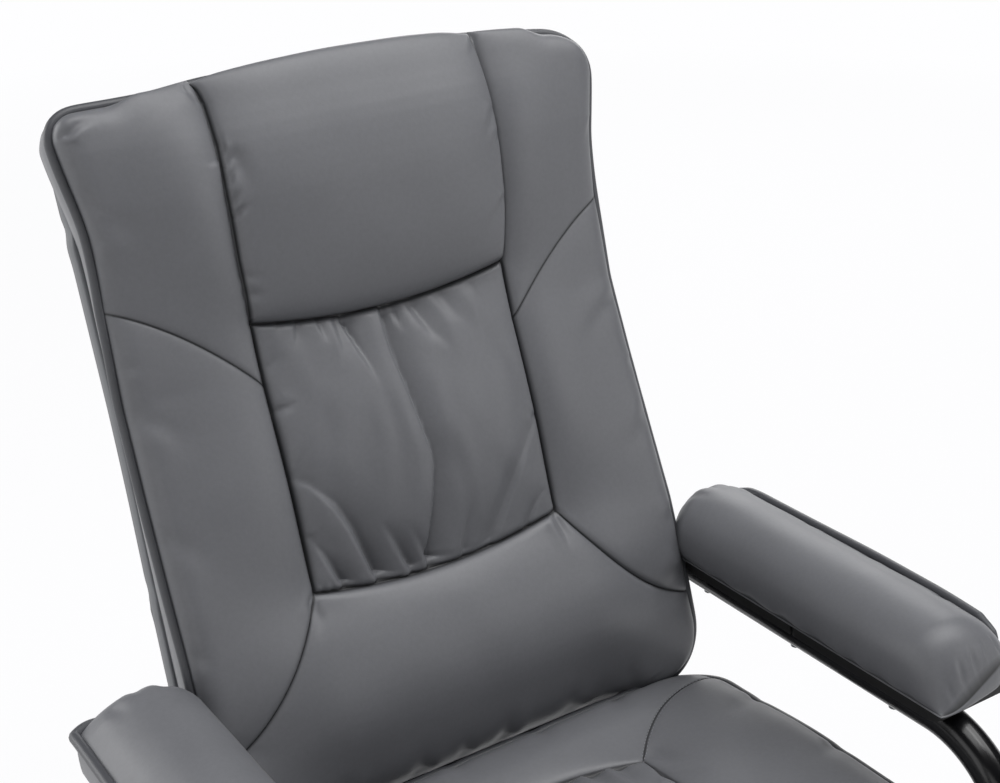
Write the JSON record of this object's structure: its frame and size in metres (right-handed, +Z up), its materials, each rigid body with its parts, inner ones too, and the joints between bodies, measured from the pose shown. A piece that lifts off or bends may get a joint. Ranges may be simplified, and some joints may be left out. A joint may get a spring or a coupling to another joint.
{
  "type": "massage armchair with footstool",
  "caption": "Swivelling massage armchair with a reclining padded back, padded tube arms and a ring base, with a matching footstool that stands apart.",
  "frame": {"origin": "on the floor under the chair's swivel axis, in the middle of the base ring", "axes": "+Z up, -Y the way the sitter faces, towards the footstool, +X to the sitter's left"},
  "size_m": [0.704, 1.451, 1.0454],
  "materials": {
    "black_steel": "gloss",
    "floor_rubber": "matte",
    "nylon": "satin",
    "bright_steel": "satin",
    "zinc_fasteners": "satin",
    "black_plastic": "matte",
    "controller_grey": "satin",
    "button_grey": "matte",
    "circuit_board": "satin",
    "plywood": "matte",
    "grey_leather": "satin",
    "grey_leather_rear": "satin"
  },
  "bodies": {
    "base": {"base_floor_ring": "floor_rubber", "base_ring": "black_steel", "base_spokes": "black_steel", "base_column": "black_steel", "column_bushes": "nylon", "thrust_washer": "bright_steel"},
    "seat": {"swivel_shaft": "bright_steel", "shaft_circlip": "bright_steel", "swivel_plate": "black_steel", "tilt_bracket": "black_steel", "swivel_bolts": "zinc_fasteners", "front_cross_bar": "black_steel", "rear_cross_bar": "black_steel", "arm_saddles": "black_plastic", "arm_bolts": "zinc_fasteners", "arm_loop_left": "black_steel", "arm_loop_right": "black_steel", "arm_board_left": "plywood", "arm_board_right": "plywood", "arm_screws": "zinc_fasteners", "arm_cushion_left": "grey_leather", "arm_cushion_right": "grey_leather", "seat_board": "plywood", "seat_bolts": "zinc_fasteners", "seat_cushion": "grey_leather", "seat_motors": "black_plastic", "control_box": "black_plastic", "control_lid": "black_plastic", "power_inlet": "black_plastic", "side_pocket": "grey_leather_rear", "recline_bracket_left": "black_steel", "recline_bracket_right": "black_steel", "pivot_bolt": "zinc_fasteners", "clamp_stud": "zinc_fasteners"},
    "backrest": {"hinge_arm_left": "bright_steel", "hinge_arm_right": "bright_steel", "hinge_screws": "zinc_fasteners", "back_board": "plywood", "back_cushion": "grey_leather", "rear_cover": "grey_leather_rear", "lumbar_motors": "black_plastic", "upper_motors": "black_plastic", "back_wiring": "black_plastic"},
    "knob": {"clamp_knob": "black_plastic"},
    "controller": {"controller_back": "black_plastic", "controller_front": "controller_grey", "controller_board": "circuit_board"},
    "power_key": {"power_button": "button_grey"},
    "mode_key": {"mode_button": "button_grey"},
    "back_key": {"back_button": "button_grey"},
    "seat_key": {"seat_button": "button_grey"},
    "speed_key": {"speed_button": "button_grey"},
    "stool": {"stool_floor_ring": "floor_rubber", "stool_ring": "black_steel", "stool_spokes": "black_steel", "stool_column": "black_steel", "stool_plate": "black_steel", "stool_bolts": "zinc_fasteners", "stool_board": "plywood", "stool_cushion": "grey_leather"}
  },
  "joints": [
    {"name": "swivel", "type": "hinge", "parent": "base", "child": "seat", "pos_m": [0, 0, 0.3], "axis": [0, 0, 1], "continuous": true},
    {"name": "recline", "type": "hinge", "parent": "seat", "child": "backrest", "pos_m": [0, 0.22001, 0.38228], "axis": [-1, 0, 0], "range_deg": [0, 32]},
    {"name": "clamp_turn", "type": "hinge", "parent": "seat", "child": "knob", "pos_m": [0, 0.22001, 0.38228], "axis": [-1, 0, 0], "range_deg": [0, 360]},
    {"name": "controller_lift", "type": "slide", "parent": "seat", "child": "controller", "axis": [0, 0.0906, 0.9959], "range_m": [0, 0.048]},
    {"name": "power_press", "type": "slide", "parent": "controller", "child": "power_key", "axis": [1, 0, 0], "range_m": [0, 0.001], "stiffness_N_per_m": 400, "springref_m": -0.0005},
    {"name": "mode_press", "type": "slide", "parent": "controller", "child": "mode_key", "axis": [1, 0, 0], "range_m": [0, 0.001], "stiffness_N_per_m": 400, "springref_m": -0.0005},
    {"name": "back_press", "type": "slide", "parent": "controller", "child": "back_key", "axis": [1, 0, 0], "range_m": [0, 0.001], "stiffness_N_per_m": 400, "springref_m": -0.0005},
    {"name": "seat_press", "type": "slide", "parent": "controller", "child": "seat_key", "axis": [1, 0, 0], "range_m": [0, 0.001], "stiffness_N_per_m": 400, "springref_m": -0.0005},
    {"name": "speed_press", "type": "slide", "parent": "controller", "child": "speed_key", "axis": [1, 0, 0], "range_m": [0, 0.001], "stiffness_N_per_m": 400, "springref_m": -0.0005},
    {"name": "stool_place", "type": "slide", "parent": "base", "child": "stool", "axis": [0, -1, 0], "range_m": [-0.1, 0.34]}
  ]
}
